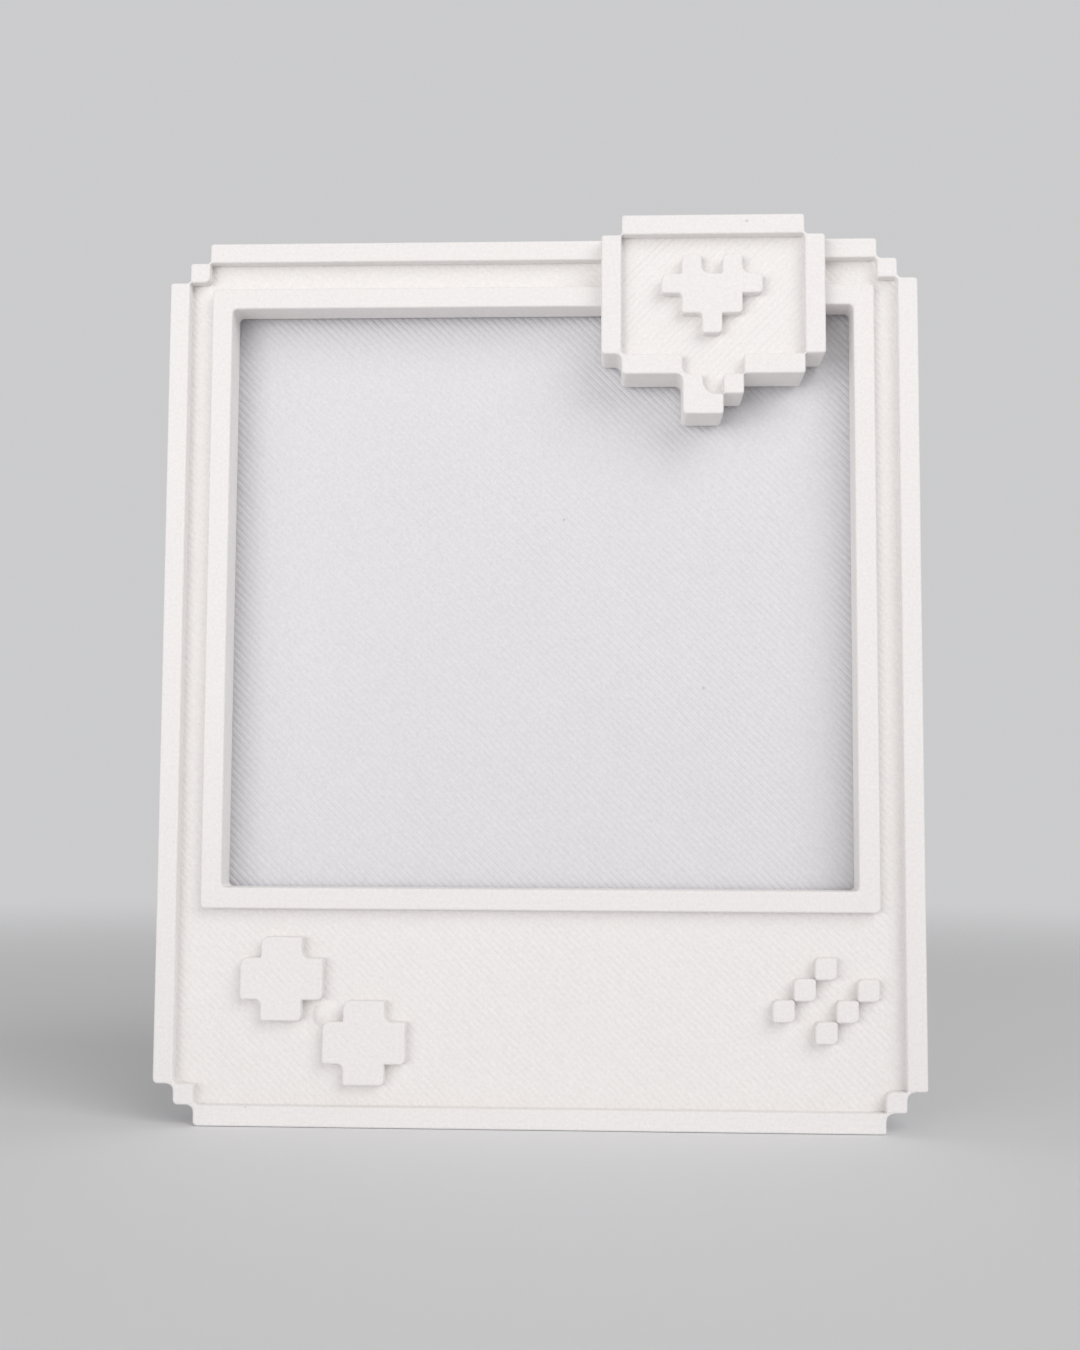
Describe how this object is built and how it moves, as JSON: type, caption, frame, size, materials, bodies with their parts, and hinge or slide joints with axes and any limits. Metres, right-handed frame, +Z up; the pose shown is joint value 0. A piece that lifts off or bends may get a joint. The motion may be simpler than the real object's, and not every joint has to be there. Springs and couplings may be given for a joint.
{
  "type": "magnetic photo frame",
  "caption": "Printed photo frame with stepped pixel-like edges, a window, a tall chin and a raised speech bubble; its front lifts off a back plate that clings to steel by disc magnets.",
  "frame": {"origin": "middle of the back plate's rear face, where it lies against steel", "axes": "+Z up, +Y out of the rear face towards the steel, the front looks along -Y, +X to the right as seen from the front"},
  "size_m": [0.0504, 0.006, 0.0603],
  "materials": {
    "frame_plastic": "warm white printed plastic with fine print lines",
    "plate_plastic": "cool white printed plastic with fine slanting print lines",
    "magnet_nickel": "satin nickel plating"
  },
  "bodies": {
    "back": {"back_plate": "plate_plastic", "plate_magnet_bottom_left": "magnet_nickel", "plate_magnet_bottom_right": "magnet_nickel", "plate_magnet_top_left": "magnet_nickel", "plate_magnet_top_right": "magnet_nickel"},
    "front": {"front_frame": "frame_plastic", "frame_magnet_chin_left": "magnet_nickel", "frame_magnet_chin_right": "magnet_nickel", "frame_magnet_bubble": "magnet_nickel"}
  },
  "joints": [
    {"name": "front_lift", "type": "slide", "parent": "back", "child": "front", "axis": [0, -1, 0], "range_m": [0, 0.02], "stiffness_N_per_m": 25, "springref_m": -0.02}
  ]
}
